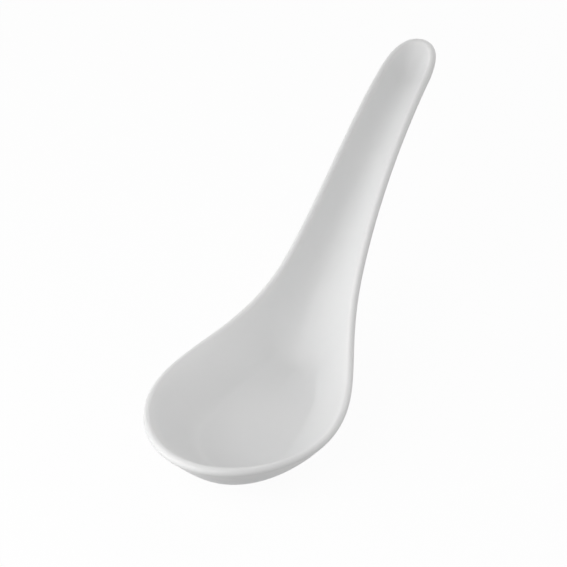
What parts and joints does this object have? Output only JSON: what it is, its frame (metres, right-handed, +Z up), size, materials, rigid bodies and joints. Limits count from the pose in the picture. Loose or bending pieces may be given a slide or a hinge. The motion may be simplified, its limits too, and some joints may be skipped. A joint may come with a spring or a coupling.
{
  "type": "chinese soup spoon",
  "caption": "Flat-bottomed soup spoon in white glazed porcelain: a deep egg-shaped bowl runs without a break into a rising open trough handle with a round end.",
  "frame": {"origin": "middle of the flat foot, on the surface that the spoon stands on", "axes": "+Y from the bowl's front edge towards the handle's end, +X to the right across the bowl, +Z up"},
  "size_m": [0.0494, 0.1379, 0.0577],
  "materials": {
    "porcelain": "clear satin glaze over white porcelain"
  },
  "bodies": {
    "root": {"spoon": "porcelain"}
  },
  "joints": []
}
